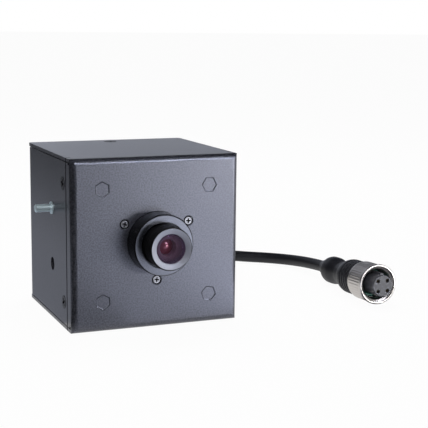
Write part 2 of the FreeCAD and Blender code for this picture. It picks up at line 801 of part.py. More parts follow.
def lens_mount():
    """Turned mount: collar through the front, flange behind it, stepped bore, two board posts."""
    bore = "(stem_radius + stem_running_clearance)"
    body = turned("lens_mount", [
        ("lock_seat_radius", "-collar_reach"),
        ("collar_radius - collar_edge", "-collar_reach"),
        ("collar_radius", "-collar_reach + collar_edge"),
        ("collar_radius", FLANGE_FRONT),
        ("flange_radius", FLANGE_FRONT),
        ("flange_radius", FLANGE_REAR),
        ("skirt_radius", FLANGE_REAR),
        ("skirt_radius", MOUNT_REAR),
        ("sensor_pocket_radius", MOUNT_REAR),
        ("sensor_pocket_radius", SENSOR_POCKET),
        ("filter_radius + filter_clearance", SENSOR_POCKET),
        ("filter_radius + filter_clearance", FILTER_SEAT),
        ("ledge_radius", FILTER_SEAT),
        ("ledge_radius", LEDGE_FRONT),
        (bore, LEDGE_FRONT),
        (bore, LOCK_SEAT),
        ("lock_seat_radius", LOCK_SEAT),
    ], LENS_AXIS)
    posts = sketch(body, "XZ_Plane", f"-{FLANGE_REAR}")
    threads = sketch(body, "XZ_Plane", f"post_thread_depth - {MOUNT_REAR}")
    for sign in (-1, 1):
        circle(posts, f"{sign} * post_spacing / 2", "0", "post_radius")
        circle(threads, f"{sign} * post_spacing / 2", "0", SENSOR_THREAD)
    pad(body, posts, "skirt_length", reverse=True)
    pocket(body, threads, "post_thread_depth")
    screws = sketch(body, "XZ_Plane", f"-{FLANGE_FRONT}")
    for x, z, _ in lens_screw_places():
        circle(screws, x, z, LENS_THREAD)
    pocket(body, screws, "flange_thickness")
    return body


def lens_mount_gasket():
    """Flat ring between the mount's flange and the front sheet."""
    inner = "(collar_radius + collar_clearance)"
    body = ring("lens_mount_gasket", inner, "flange_radius", "sheet_thickness", FLANGE_FRONT, LENS_AXIS)
    screws = sketch(body, "XZ_Plane", "-sheet_thickness")
    for x, z, _ in lens_screw_places():
        circle(screws, x, z, LENS_THREAD)
    pocket(body, screws, "gasket_thickness")
    return body


def lens_mount_screws():
    """Three countersunk screws that pull the lens mount against the front."""
    screws = [
        countersunk_screw(
            f"lens_screw_{index}", "lens", "lens_screw_countersink", "lens_screw_land",
            (x, FRONT, f"lens_height + {z}"), f"0; {turn}; 0")
        for index, (x, z, turn) in enumerate(lens_screw_places(), start=1)
    ]
    return group("lens_mount_screws", screws)


def lens_lock_ring():
    """Ring on the lens thread that locks the focus against the mount."""
    inner = "(stem_radius + lock_ring_bore_clearance)"
    outer = "(lock_seat_radius - lock_ring_clearance)"
    return ring("lens_lock_ring", inner, outer, f"({LOCK_SEAT} - lock_ring_height)", LOCK_SEAT, LENS_AXIS)


def lens_barrel():
    """Barrel: wide head in front of the mount, threaded stem in its bore, iris between the bores."""
    head_rear = "(barrel_insert - collar_reach)"
    stem_end = f"({LEDGE_FRONT} - stem_end_clearance)"
    return turned("lens_barrel", [
        ("glass_seat_radius", f"{BARREL_FRONT} + barrel_face_depth"),
        ("barrel_radius - barrel_edge", BARREL_FRONT),
        ("barrel_radius", f"{BARREL_FRONT} + barrel_edge"),
        ("barrel_radius", head_rear),
        ("stem_radius", head_rear),
        ("stem_radius", stem_end),
        ("rear_bore_radius", stem_end),
        ("rear_bore_radius", IRIS_REAR),
        ("iris_radius", IRIS_REAR),
        ("iris_radius", IRIS_FRONT),
        ("glass_seat_radius", IRIS_FRONT),
    ], LENS_AXIS)


def lens_element(label, radius, start, thickness, curve, domed_front):
    """Glass disc with one flat face and one domed face."""
    rim = doc.addObject("Part::Cylinder", label + "_rim")
    rim.setExpression("Radius", bound(radius))
    rim.setExpression("Height", bound(thickness))
    place(rim, ("0", f"{FRONT} + {start}", "lens_height"), DOWNWARD)
    dome = doc.addObject("Part::Sphere", label + "_dome")
    dome.setExpression("Radius", bound(curve))
    centre = f"{start} + {curve}" if domed_front else f"{start} + {thickness} - {curve}"
    place(dome, ("0", f"{FRONT} + {centre}", "lens_height"))
    element = doc.addObject("Part::Common", label)
    element.Base = rim
    element.Tool = dome
    return element


def lens_front_element():
    """Large domed front glass."""
    radius = "glass_seat_radius - glass_clearance"
    start = f"({BARREL_FRONT} + glass_recess)"
    return lens_element(
        "lens_front_element", radius, start, "glass_seat_depth - glass_recess", "glass_curve", True)


INNER_GLASS = "(rear_bore_radius - glass_clearance)"


def lens_middle_element():
    """Glass behind the iris."""
    return lens_element(
        "lens_middle_element", INNER_GLASS, IRIS_REAR, "middle_glass_thickness", "inner_glass_curve", False)


def lens_spacer():
    """Tube that keeps the two inner glasses apart."""
    inner = f"({INNER_GLASS} - glass_spacer_wall)"
    return ring("lens_spacer", inner, INNER_GLASS, SPACER_FRONT, REAR_GLASS_FRONT, LENS_AXIS)


def lens_rear_element():
    """Rearmost glass."""
    return lens_element(
        "lens_rear_element", INNER_GLASS, REAR_GLASS_FRONT,
        "rear_glass_thickness", "inner_glass_curve", False)


def lens_rear_ring():
    """Ring that keeps the inner glasses in the stem."""
    inner = f"({INNER_GLASS} - rear_ring_wall)"
    end = f"({REAR_RING_FRONT} + rear_ring_height)"
    return ring("lens_rear_ring", inner, INNER_GLASS, REAR_RING_FRONT, end, LENS_AXIS)


def infrared_filter():
    """Filter disc seated against the ledge of the mount."""
    end = f"({FILTER_SEAT} + filter_thickness)"
    return turned("infrared_filter", rectangle("0", "filter_radius", FILTER_SEAT, end), LENS_AXIS)


def image_sensor():
    """Sensor package on the front of its board, behind the filter."""
    setback = f"({MOUNT_REAR} - sensor_thickness)"
    return block(
        "image_sensor", "0", "lens_height", setback, "sensor_width", "sensor_height", "sensor_thickness")


def sensor_board():
    """Small square board on the rear of the lens mount."""
    half = "sensor_board_size / 2"
    corners = rectangle(f"-{half}", half, f"lens_height - {half}", f"lens_height + {half}")
    holes = [
        (f"{sign} * post_spacing / 2", "lens_height", SENSOR_THREAD)
        for sign in (-1, 1)
    ]
    return plate("sensor_board", MOUNT_REAR, "sensor_board_thickness", corners, holes)


def sensor_screws():
    """Two screws that hold the sensor board on the mount's posts."""
    screws = []
    for index, sign in enumerate((-1, 1), start=1):
        at = (f"{sign} * post_spacing / 2", f"{FRONT} + {SENSOR_BOARD_REAR}", "lens_height")
        screws.append(pan_screw(f"sensor_screw_{index}", "sensor", at, FORWARD))
    return group("sensor_screws", screws)


def link_socket():
    """Board-to-board socket on the rear of the sensor board."""
    return block(
        "link_socket", "0", "(lens_height - link_drop)", SENSOR_BOARD_REAR,
        "link_width", "link_height", "link_socket_depth")


def link_header():
    """Board-to-board header on the front of the main board, mated with the socket."""
    setback = f"({SENSOR_BOARD_REAR} + link_socket_depth)"
    return block(
        "link_header", "0", "(lens_height - link_drop)", setback,
        "link_width", "link_height", f"({MAIN_BOARD_FRONT} - {setback})")


def large_board(label, setback):
    """One of the two large boards, with a hole at each standoff."""
    corners = rectangle(
        "-board_width / 2", "board_width / 2",
        f"{MIDDLE} - board_height / 2", f"{MIDDLE} + board_height / 2")
    holes = [(x, z, BOARD_THREAD) for x, z in standoff_places()]
    return plate(label, setback, "board_thickness", corners, holes)


def main_board():
    """Board with the processor, on the standoffs."""
    return large_board("main_board", MAIN_BOARD_FRONT)


def processor():
    """Processor package on the rear of the main board."""
    return block(
        "processor", "0", CHIP_HEIGHT, MAIN_BOARD_REAR,
        "processor_size", "processor_size", "processor_thickness")


def thermal_pad():
    """Soft pad between the processor and the heat sink."""
    return block(
        "thermal_pad", "0", CHIP_HEIGHT, PAD_FRONT,
        "processor_size", "processor_size", "thermal_pad_thickness")


def heat_sink():
    """Finned plate on the processor."""
    half = "heat_sink_size / 2"
    base = plate(
        "heat_sink", SINK_FRONT, "heat_sink_base",
        rectangle(f"-{half}", half, f"{CHIP_HEIGHT} - {half}", f"{CHIP_HEIGHT} + {half}"))
    fins = sketch(base, "XZ_Plane")
    for index in range(FIN_COUNT):
        middle = f"{index - (FIN_COUNT - 1) / 2} * heat_sink_pitch"
        outline(fins, rectangle(
            f"{middle} - heat_sink_fin / 2", f"{middle} + heat_sink_fin / 2",
            f"{CHIP_HEIGHT} - {half}", f"{CHIP_HEIGHT} + {half}"))
    pad(base, fins, "heat_sink_depth", reverse=True)
    return base


def memory_chips():
    """Two memory packages beside the heat sink."""
    reach = "(heat_sink_size / 2 + memory_gap + memory_width / 2)"
    chips = [
        block(
            f"memory_{index}", f"{sign} * {reach}", CHIP_HEIGHT, MAIN_BOARD_REAR,
            "memory_width", "memory_height", "memory_thickness")
        for index, sign in enumerate((-1, 1), start=1)
    ]
    return group("memory_chips", chips)


def pin_header():
    """Tall header that joins the main board and the power board."""
    return block(
        "pin_header", "0", f"({MIDDLE} - pin_header_drop)", MAIN_BOARD_REAR,
        "pin_header_width", "pin_header_height", "spacer_length")


def board_spacers():
    """Four hexagonal spacers: a stud through the main board, a threaded hole for the next screw."""
    pieces = []
    for index, ((x, z), turn) in enumerate(zip(standoff_places(), STANDOFF_TURNS), start=1):
        body = new_body(f"spacer_{index}", (x, f"{FRONT} + {MAIN_BOARD_REAR}", z))
        barrel = sketch(body, "XZ_Plane")
        outline(barrel, hexagon("0", "0", "spacer_flats", turn))
        pad(body, barrel, "spacer_length", reverse=True)
        stud = sketch(body, "XZ_Plane")
        circle(stud, "0", "0", "board_screw_radius")
        pad(body, stud, "board_thickness + spacer_stud_length")
        thread = sketch(body, "XZ_Plane", "spacer_thread_depth - spacer_length")
        circle(thread, "0", "0", BOARD_THREAD)
        pocket(body, thread, "spacer_thread_depth")
        pieces.append(body)
    return group("board_spacers", pieces)


def power_board():
    """Rear board: lead socket, network transformer and supply."""
    return large_board("power_board", POWER_BOARD_FRONT)


def board_screws():
    """Four screws that hold the power board on the spacers."""
    screws = [
        pan_screw(f"board_screw_{index}", "board", (x, f"{FRONT} + {POWER_BOARD_REAR}", z), FORWARD)
        for index, (x, z) in enumerate(standoff_places(), start=1)
    ]
    return group("board_screws", screws)


def power_transformer():
    """Transformer of the supply."""
    return block(
        "power_transformer", "power_coil_x", f"({MIDDLE} + power_coil_rise)", POWER_BOARD_REAR,
        "power_coil_width", "power_coil_height", "power_coil_depth")


def network_transformer():
    """Transformer of the network port."""
    return block(
        "network_transformer", "network_coil_x", f"({MIDDLE} + network_coil_rise)", POWER_BOARD_REAR,
        "network_coil_width", "network_coil_height", "network_coil_depth")


def capacitors():
    """Row of round capacitors of the supply."""
    cans = []
    for index in range(CAPACITOR_COUNT):
        can = doc.addObject("Part::Cylinder", f"capacitor_{index + 1}")
        can.setExpression("Radius", bound("capacitor_radius"))
        can.setExpression("Height", bound("capacitor_length"))
        x = f"capacitor_x + {index} * capacitor_pitch"
        place(can, (x, f"{FRONT} + {POWER_BOARD_REAR}", f"{MIDDLE} - capacitor_drop"), DOWNWARD)
        cans.append(can)
    return group("capacitors", cans)


def power_choke():
    """Choke of the supply."""
    return block(
        "power_choke", "choke_x", f"({MIDDLE} - choke_drop)", POWER_BOARD_REAR,
        "choke_size", "choke_size", "choke_depth")


def lead_socket():
    """Socket on the power board, in line with the lead's entry."""
    return block(
        "lead_socket", "lead_exit_x", LEAD_EXIT, POWER_BOARD_REAR,
        "lead_socket_width", "lead_socket_height", "lead_socket_depth")


def lead_plug():
    """Plug on the inner end of the lead."""
    return block(
        "lead_plug", "lead_exit_x", LEAD_EXIT, PLUG_FRONT,
        "lead_plug_width", "lead_plug_height", "lead_plug_depth")


LEAD_AXIS = ("lead_exit_x", FRONT, LEAD_EXIT)
LEAD_BORE = "(lead_radius + lead_grip_clearance)"


def inner_lead():
    """Lead from its plug through the grommet to the end of the sleeve."""
    return turned("inner_lead", rectangle("0", "lead_radius", PLUG_REAR, SLEEVE_END), LEAD_AXIS)


def lead_stop():
    """Clamped ring on the lead that bears on the grommet when the lead is pulled."""
    start = f"({GROMMET_FRONT} - lead_stop_length)"
    return ring("lead_stop", LEAD_BORE, "lead_stop_radius", start, GROMMET_FRONT, LEAD_AXIS)


def lead_grommet():
    """Rubber grommet in the back, with a tapering sleeve on the lead."""
    return turned("lead_grommet", [
        (LEAD_BORE, GROMMET_FRONT),
        ("grommet_inner_radius", GROMMET_FRONT),
        ("grommet_inner_radius", "box_depth - sheet_thickness"),
        ("grommet_neck_radius", "box_depth - sheet_thickness"),
        ("grommet_neck_radius", "box_depth"),
        ("grommet_flange_radius", "box_depth"),
        ("grommet_flange_radius", "box_depth + grommet_flange_thickness"),
        ("sleeve_root_radius", "box_depth + grommet_flange_thickness"),
        ("sleeve_tip_radius", SLEEVE_END),
        (LEAD_BORE, SLEEVE_END),
    ], LEAD_AXIS)


CONNECTOR_AXIS = ("connector_x", "connector_y", CONNECTOR_Z)
CONNECTOR_TURN = "connector_yaw; 0; -connector_tilt"


def rounded_path(points):
    """Straight runs joined by tangent arcs as large as the two runs at each point allow."""
    edges = []
    start = points[0]
    for before, corner, after in zip(points, points[1:], points[2:]):
        inward = corner - before
        outward = after - corner
        half_turn = inward.getAngle(outward) / 2
        setback = BEND_SHARE * min(inward.Length, outward.Length)
        radius = setback / math.tan(half_turn)
        print(f"lead bend radius {radius:.1f} mm")
        arc_start = corner - inward.normalize() * setback
        arc_end = corner + outward.normalize() * setback
        middle = (arc_start + arc_end) / 2 - corner
        to_crown = radius / math.cos(half_turn) - radius
        crown = corner + middle.normalize() * to_crown
        edges.append(Part.LineSegment(start, arc_start).toShape())
        edges.append(Part.Arc(arc_start, crown, arc_end).toShape())
        start = arc_end
    edges.append(Part.LineSegment(start, points[-1]).toShape())
    return Part.Wire(edges)


def lead():
    """Free lead from the sleeve to the connector's tail, lying on the floor behind the box."""
    sleeve_tip = Vector(number("lead_exit_x"), number(f"{FRONT} + {SLEEVE_END}"), number(LEAD_EXIT))
    turn = FreeCAD.Rotation(number("connector_yaw"), 0, -number("connector_tilt"))
    mouth = Vector(*(number(value) for value in CONNECTOR_AXIS))
    backward = turn.multVec(Vector(0, 1, 0))
    tail = mouth + backward * number("tail_end_setback")
    points = [sleeve_tip, sleeve_tip + Vector(0, LEAD_FIRST_RUN, 0)]
    points += [Vector(*bend) for bend in LEAD_BENDS]
    points += [tail + backward * LEAD_LAST_RUN, tail]
    path = rounded_path(points)
    radius = number("lead_radius")
    section = Part.Wire(Part.makeCircle(radius, points[0], Vector(0, 1, 0)))
    tube = path.makePipeShell([section], True, False)
    expected = math.pi * radius**2 * path.Length
    print(f"lead length {path.Length:.1f} mm, volume {tube.Volume:.1f} of {expected:.1f} mm3")
    piece = doc.addObject("Part::Feature", "lead")
    piece.Shape = tube
    return piece


def coupling_nut():
    """Knurled nut with a plain rim, that turns on the connector body's spigot."""
    body = turned("coupling_nut", [
        ("nut_mouth_radius", "0"),
        ("nut_rim_radius - nut_edge", "0"),
        ("nut_rim_radius", "nut_edge"),
        ("nut_rim_radius", "nut_rim_length"),
        ("nut_radius", "nut_rim_length"),
        ("nut_radius", "nut_length - nut_edge"),
        ("nut_radius - nut_edge", "nut_length"),
        ("spigot_radius + nut_running_clearance", "nut_length"),
        ("spigot_radius + nut_running_clearance", SPIGOT_LIP),
        ("nut_cavity_radius", SPIGOT_LIP),
        ("nut_cavity_radius", "nut_mouth_radius - nut_cavity_radius"),
    ], CONNECTOR_AXIS, CONNECTOR_TURN)
    flute = sketch(body, "XZ_Plane", "-flute_start")
    circle(flute, "0", "nut_radius + flute_radius - flute_depth", "flute_radius")
    groove = pocket(body, flute, "flute_length")
    flutes = body.newObject("PartDesign::PolarPattern", "coupling_nut_flutes")
    flutes.Originals = [groove]
    axis = next(item for item in body.Origin.OriginFeatures if item.Role == "Y_Axis")
    flutes.Axis = (axis, [""])
    flutes.Angle = FULL_TURN
    flutes.Occurrences = FLUTE_COUNT
    body.Tip = flutes
    return body


def connector_body():
    """Moulded body: spigot with a flange for the nut, ribbed grip, neck, round bulb and tail."""
    grip_rear = f"({GRIP_FRONT} + grip_length)"
    corners = [
        ("0", SPIGOT_FRONT),
        ("spigot_flange_radius", SPIGOT_FRONT),
        ("spigot_flange_radius", SPIGOT_FLANGE_REAR),
        ("spigot_radius", SPIGOT_FLANGE_REAR),
        ("spigot_radius", GRIP_FRONT),
        ("grip_radius - grip_edge", GRIP_FRONT),
        ("grip_radius", f"{GRIP_FRONT} + grip_edge"),
    ]
    groove_floor = "(grip_radius - grip_groove_depth)"
    for index in range(GRIP_GROOVE_COUNT):
        middle = f"({grip_rear} - {GRIP_GROOVE_COUNT - index} * grip_groove_pitch)"
        groove_start = f"({middle} - grip_groove_width / 2)"
        groove_end = f"({middle} + grip_groove_width / 2)"
        corners += [
            ("grip_radius", groove_start),
            (groove_floor, groove_start),
            (groove_floor, groove_end),
            ("grip_radius", groove_end),
        ]
    corners += [
        ("grip_radius", grip_rear),
        ("neck_radius", f"{grip_rear} + taper_length"),
        ("neck_radius", "bulb_setback"),
        ("tail_root_radius", "bulb_setback"),
        ("tail_end_radius", "tail_end_setback"),
        ("0", "tail_end_setback"),
    ]
    core = turned("connector_core", corners, ("0", "0", "0"))
    bulb = doc.addObject("Part::Sphere", "connector_bulb")
    bulb.setExpression("Radius", bound("bulb_radius"))
    place(bulb, ("0", "bulb_setback", "0"))
    body = doc.addObject("Part::Fuse", "connector_body")
    body.Base = core
    body.Tool = bulb
    place(body, CONNECTOR_AXIS, CONNECTOR_TURN)
    return body


def contact_places():
    """Centres of the four contacts in the carrier's face."""
    half = "contact_spacing / 2"
    return [(f"{x} * {half}", f"{z} * {half}") for x in (-1, 1) for z in (-1, 1)]


CARRIER_BASE = f"({SPIGOT_FRONT} - carrier_base_thickness)"


def contact_carrier():
    """Insulating insert with four holes and a key, on the front of the connector body."""
    body = turned("contact_carrier", [
        ("0", "-carrier_reach"),
        ("carrier_radius - carrier_edge", "-carrier_reach"),
        ("carrier_radius", "-carrier_reach + carrier_edge"),
        ("carrier_radius", CARRIER_BASE),
        ("carrier_base_radius", CARRIER_BASE),
        ("carrier_base_radius", SPIGOT_FRONT),
        ("0", SPIGOT_FRONT),
    ], CONNECTOR_AXIS, CONNECTOR_TURN)
    key_start = "(carrier_key_setback - carrier_reach)"
    key_end = f"({CARRIER_BASE} - 2 * seal_section_radius - 2 * seal_clearance)"
    key = sketch(body, "XZ_Plane", f"-{key_start}")
    outline(key, rectangle(
        "-carrier_key_width / 2", "carrier_key_width / 2",
        "carrier_radius - carrier_key_height", "carrier_radius + carrier_key_height"))
    pad(body, key, f"{key_end} - {key_start}", reverse=True)
    holes = sketch(body, "XZ_Plane", "carrier_reach")
    for x, z in contact_places():
        circle(holes, x, z, "contact_hole_radius")
    pocket(body, holes, "contact_hole_depth")
    return body


def contact_sockets():
    """Four brass sleeves at the bottom of the carrier's holes."""
    start = "(contact_recess - carrier_reach)"
    end = "(contact_hole_depth - carrier_reach)"
    sleeves = []
    for index, (x, z) in enumerate(contact_places(), start=1):
        body = new_body(f"contact_{index}", CONNECTOR_AXIS, CONNECTOR_TURN)
        drawing = sketch(body, "XZ_Plane", f"-{start}")
        circle(drawing, x, z, "contact_hole_radius - contact_clearance")
        circle(drawing, x, z, "contact_bore_radius")
        pad(body, drawing, f"{end} - {start}", reverse=True)
        sleeves.append(body)
    return group("contact_sockets", sleeves)


def face_seal():
    """Round sealing ring on the carrier, against its base."""
    body = new_body("face_seal", CONNECTOR_AXIS, CONNECTOR_TURN)
    section = sketch(body, "XY_Plane")
    middle = "(seal_section_radius + seal_clearance)"
    circle(section, f"carrier_radius + {middle}", f"{CARRIER_BASE} - {middle}", "seal_section_radius")
    revolve(body, section)
    return body


NODES = [
    front_cover(),
    rear_cover(),
    cover_screws(),
    board_standoffs(),
    side_stud(),
    lens_mount(),
    lens_mount_gasket(),
    lens_mount_screws(),
    lens_lock_ring(),
    lens_barrel(),
    lens_front_element(),
    lens_middle_element(),
    lens_spacer(),
    lens_rear_element(),
    lens_rear_ring(),
    infrared_filter(),
    image_sensor(),
    sensor_board(),
    sensor_screws(),
    link_socket(),
    link_header(),
    main_board(),
    processor(),
    thermal_pad(),
    heat_sink(),
    memory_chips(),
    pin_header(),
    board_spacers(),
    power_board(),
    board_screws(),
    power_transformer(),
    network_transformer(),
    capacitors(),
    power_choke(),
    lead_socket(),
    lead_plug(),
    inner_lead(),
    lead_stop(),
    lead_grommet(),
    lead(),
    coupling_nut(),
    connector_body(),
    contact_carrier(),
    contact_sockets(),
    face_seal(),
]

doc.recompute()
failed = [item.Label for item in doc.Objects if {"Invalid", "Error"} & set(item.State)]
failed += [node.Label for node in NODES if node.Shape.isNull() or not node.Shape.isValid()]
if failed:
    raise ValueError(f"failed pieces: {failed}")
os.makedirs("parts", exist_ok=True)
for node in NODES:
    node.Shape.exportStep(f"parts/{node.Label}.step")
    print(f"{node.Label}: {len(node.Shape.Solids)} solids, {node.Shape.Volume:.1f} mm3")
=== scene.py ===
import math

import bmesh
import bpy
from mathutils import Matrix, Quaternion, Vector


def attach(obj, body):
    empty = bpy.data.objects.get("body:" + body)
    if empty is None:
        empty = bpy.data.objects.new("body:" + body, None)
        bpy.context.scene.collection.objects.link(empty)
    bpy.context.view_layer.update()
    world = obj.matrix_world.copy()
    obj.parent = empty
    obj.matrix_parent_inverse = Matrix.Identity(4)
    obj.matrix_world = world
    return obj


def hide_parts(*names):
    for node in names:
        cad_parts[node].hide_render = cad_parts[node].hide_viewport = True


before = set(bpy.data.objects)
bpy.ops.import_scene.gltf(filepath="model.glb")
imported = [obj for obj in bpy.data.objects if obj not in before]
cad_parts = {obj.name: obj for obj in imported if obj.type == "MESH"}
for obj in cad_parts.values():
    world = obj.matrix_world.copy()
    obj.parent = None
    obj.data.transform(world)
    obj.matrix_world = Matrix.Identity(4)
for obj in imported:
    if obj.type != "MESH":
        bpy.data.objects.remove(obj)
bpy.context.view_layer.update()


# Covers: two folded steel sheets, one with the front, top and bottom, the other with the sides and
# the back. They are zinc-plated, folded, then sprayed with a fine-grained metallic grey powder and
# baked. Along the seam where the sides meet the front sheet's returns the powder is painted dark, a
# painted shade for the shadow in the gap.
class Feed:
    """One output of a finish's nodes; sums on it add Math nodes."""

    def __init__(self, finish, socket):
        self.finish, self.socket = finish, socket

    def sum(self, operation, first, second):
        return self.finish.node("ShaderNodeMath", {"operation": operation}, {0: first, 1: second})

    def __add__(self, other):
        return self.sum("ADD", self, other)

    def __radd__(self, other):
        return self.sum("ADD", other, self)

    def __sub__(self, other):
        return self.sum("SUBTRACT", self, other)

    def __rsub__(self, other):
        return self.sum("SUBTRACT", other, self)

    def __mul__(self, other):
        return self.sum("MULTIPLY", self, other)

    def __rmul__(self, other):
        return self.sum("MULTIPLY", other, self)

    def __truediv__(self, other):
        return self.sum("DIVIDE", self, other)

    def __pow__(self, other):
        return self.sum("POWER", self, other)

    def __gt__(self, other):
        return self.sum("GREATER_THAN", self, other)

    def __lt__(self, other):
        return self.sum("LESS_THAN", self, other)


class Finish:
    """One material, or the room's light, and the nodes that make it."""

    def __init__(self, name, shelf=bpy.data.materials):
        self.material = shelf.new(name)
        self.material.use_nodes = True
        self.tree = self.material.node_tree
        self.tree.nodes.clear()
        self.where = self.node("ShaderNodeTexCoord", out="Object")

    def node(self, kind, settings=None, sockets=None, out=0):
        """Add a node, set it, then fill or link its sockets; give its output, if it has one."""
        made = self.tree.nodes.new(kind)
        for key, value in (settings or {}).items():
            setattr(made, key, value)
        for key, value in (sockets or {}).items():
            pin = made.inputs[key]
            if isinstance(value, Feed):
                self.tree.links.new(value.socket, pin)
            else:
                pin.default_value = (*value, 1) if pin.type == "RGBA" else value
        return Feed(self, made.outputs[out]) if made.outputs else made

    def noise(self, scale, detail, along=None):
        """Cloudy value from 0 to 1; scale is in spots per metre."""
        return self.node("ShaderNodeTexNoise", None, {
            "Vector": along or self.where, "Scale": scale, "Detail": detail})

    def stretched(self, factors):
        """The piece's own coordinates, each times a factor."""
        return self.node("ShaderNodeVectorMath", {"operation": "MULTIPLY"}, {0: self.where, 1: factors})

    def part(self, axis):
        """One of the piece's own coordinates, in metres."""
        return self.node("ShaderNodeSeparateXYZ", None, {0: self.where}, out=axis)

    def between(self, share, first, second):
        """Blend of two colours."""
        return self.node(
            "ShaderNodeMix", {"data_type": "RGBA"}, {0: share, 6: first, 7: second}, out=2)

    def bump(self, height, distance, strength):
        """Fine relief for the Normal socket; distance is in metres."""
        return self.node("ShaderNodeBump", None, {
            "Strength": strength, "Distance": distance, "Height": height})

    def shade(self, sockets):
        """Close the material with its surface."""
        shader = self.node("ShaderNodeBsdfPrincipled", None, sockets)
        self.node("ShaderNodeOutputMaterial", None, {"Surface": shader})


def dress(finish, *names):
    """Give CAD nodes their finish."""
    for name in names:
        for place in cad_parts[name].material_slots:
            place.material = finish.material


powder = Finish("grey_powder_coat")
grain = powder.noise(1900, 2.0)
peel = powder.noise(430, 3.0)
cloud = powder.noise(45, 2.0)
flakes = 4.0 * grain + 0.4 * cloud - 1.7
grey = powder.between(flakes, (0.002, 0.002, 0.004), (0.042, 0.044, 0.054))
# The seam's strip in metres, and the square of the distance from the middle at which the walls begin.
seam_front, seam_back, wall_square = -0.02390, -0.02290, 0.00083
sideways, inward = powder.part("X"), powder.part("Y")
# Painted shade: the powder is near black and matt in a strip along the seam, for the shadow in the gap.
seam_painted_shade = (inward > seam_front) * (inward < seam_back) * (sideways * sideways > wall_square)
powder.shade({
    "Base Color": powder.between(seam_painted_shade, grey, (0.001, 0.001, 0.001)),
    "Roughness": 0.32 + 0.08 * grain + 0.6 * seam_painted_shade,
    "Specular IOR Level": 1.0,
    "Specular Tint": (0.84, 0.86, 1.0),
    "Normal": powder.bump(0.7 * grain + peel, 0.00012, 0.22),
})
dress(powder, "front_cover", "rear_cover")


# Cover screws: six countersunk steel screws with cross recesses, blackened and screwed almost flush
# through one sheet into the tabs of the other.
black_steel = Finish("blackened_steel")
rub = black_steel.noise(900, 4.0)
black_steel.shade({
    "Base Color": black_steel.between(rub, (0.012, 0.012, 0.014), (0.045, 0.045, 0.050)),
    "Metallic": 0.7,
    "Roughness": 0.30 + 0.22 * rub,
    "Normal": black_steel.bump(rub, 0.00005, 0.25),
})
dress(black_steel, "cover_screws")


# Standoffs: four threaded steel bushes whose hexagon heads are pressed flush into the front sheet
# and painted over with it, so only a fine groove and a shallow dish show at each head.
MM = 0.001


def eased(profile):
    """Round the corners of a half-section that carry an easing."""
    path, steps = [], 5
    for index, corner in enumerate(profile):
        here = Vector(corner[:2])
        ease = corner[2] if len(corner) > 2 else 0.0
        if not ease:
            path.append(here)
            continue
        before = Vector(profile[index - 1][:2]) - here
        after = Vector(profile[(index + 1) % len(profile)][:2]) - here
        start = here + before.normalized() * min(ease, before.length / 2)
        end = here + after.normalized() * min(ease, after.length / 2)
        for step in range(steps + 1):
            share = step / steps
            path.append(start * (1 - share) ** 2 + here * 2 * share * (1 - share) + end * share ** 2)
    return path


def turn(form, profile, place, sides, first=0.0, swell=None, closed=True):
    """Spin a half-section of (along, out) points, in mm, about the place's Z axis; give its rings.

    A third number at a point is its easing; swell may change how far out a point lies.
    """
    rings = []
    for along, out in eased(profile):
        ring = []
        for side in range(sides):
            angle = first + math.tau * side / sides
            reach = swell(angle, along, out) if swell else out
            point = Vector((reach * math.cos(angle), reach * math.sin(angle), along)) * MM
            ring.append(form.verts.new(place @ point))
        rings.append(ring)
    for ring, following in zip(rings, rings[1:] + (rings[:1] if closed else [])):
        for side in range(sides):
            after = (side + 1) % sides
            form.faces.new((ring[side], ring[after], following[after], following[side]))
    return rings


def axis_place(at, along):
    """Frame at a point in mm whose Z axis runs along a level or nearly level direction."""
    forward = Vector(along).normalized()
    across = Vector((0, 0, 1)).cross(forward).normalized()
    turned = Matrix((across, forward.cross(across), forward)).transposed().to_4x4()
    return Matrix.Translation(Vector(at) * MM) @ turned


def finished_piece(name, form, finish, body, node, sharp=38):
    """Make the object that stands for a CAD node; edges over sharp degrees stay crisp."""
    bmesh.ops.remove_doubles(form, verts=form.verts, dist=1e-7)
    bmesh.ops.recalc_face_normals(form, faces=form.faces)
    mesh = bpy.data.meshes.new(name)
    form.to_mesh(mesh)
    form.free()
    mesh.shade_smooth()
    mesh.set_sharp_from_angle(angle=math.radians(sharp))
    piece = bpy.data.objects.new(name, mesh)
    bpy.context.scene.collection.objects.link(piece)
    mesh.materials.append(finish.material)
    flat = piece.modifiers.new("flat_faces", "WEIGHTED_NORMAL")
    flat.keep_sharp = True
    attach(piece, body)
    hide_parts(node)
    return piece


front_face, box_middle, standoff_reach = -29.5, 30.0, 19.5
hex_head = [(0.13, 0.001), (0.13, 2.40), (0.0, 2.72), (0.16, 2.80), (1.2, 2.80), (1.2, 0.001)]
bush = [(1.2, 1.3), (1.2, 2.1), (13.2, 2.1, 0.2), (13.2, 1.3)]
hexes = bmesh.new()
for across, up, hex_turn in ((-1, 1, 32), (1, 1, 58), (-1, -1, 33), (1, -1, 49)):
    seat = axis_place((across * standoff_reach, front_face, box_middle + up * standoff_reach), (0, 1, 0))
    turn(hexes, hex_head, seat, 6, math.radians(180 - hex_turn))
    turn(hexes, bush, seat, 48)
finished_piece("standoff_heads", hexes, powder, "camera", "board_standoffs", 10)


# Side stud: a zinc-plated M3 stud pressed through the left wall from inside, with a thin collar outside
# and a rolled thread for the bracket's nut.
zinc = Finish("zinc_plate")
spangle = zinc.noise(1500, 3.0)
zinc.shade({
    "Base Color": zinc.between(spangle, (0.60, 0.74, 0.80), (0.72, 0.86, 0.92)),
    "Metallic": 0.62,
    "Roughness": 0.44 + 0.08 * spangle,
    "Normal": zinc.bump(spangle, 0.00004, 0.2),
})
thread_pitch, thread_depth, thread_radius, thread_core = 0.5, 0.05, 1.45, 1.3
thread_start, thread_end, collar_fade, point_fade = 0.75, 6.05, 0.3, 0.4


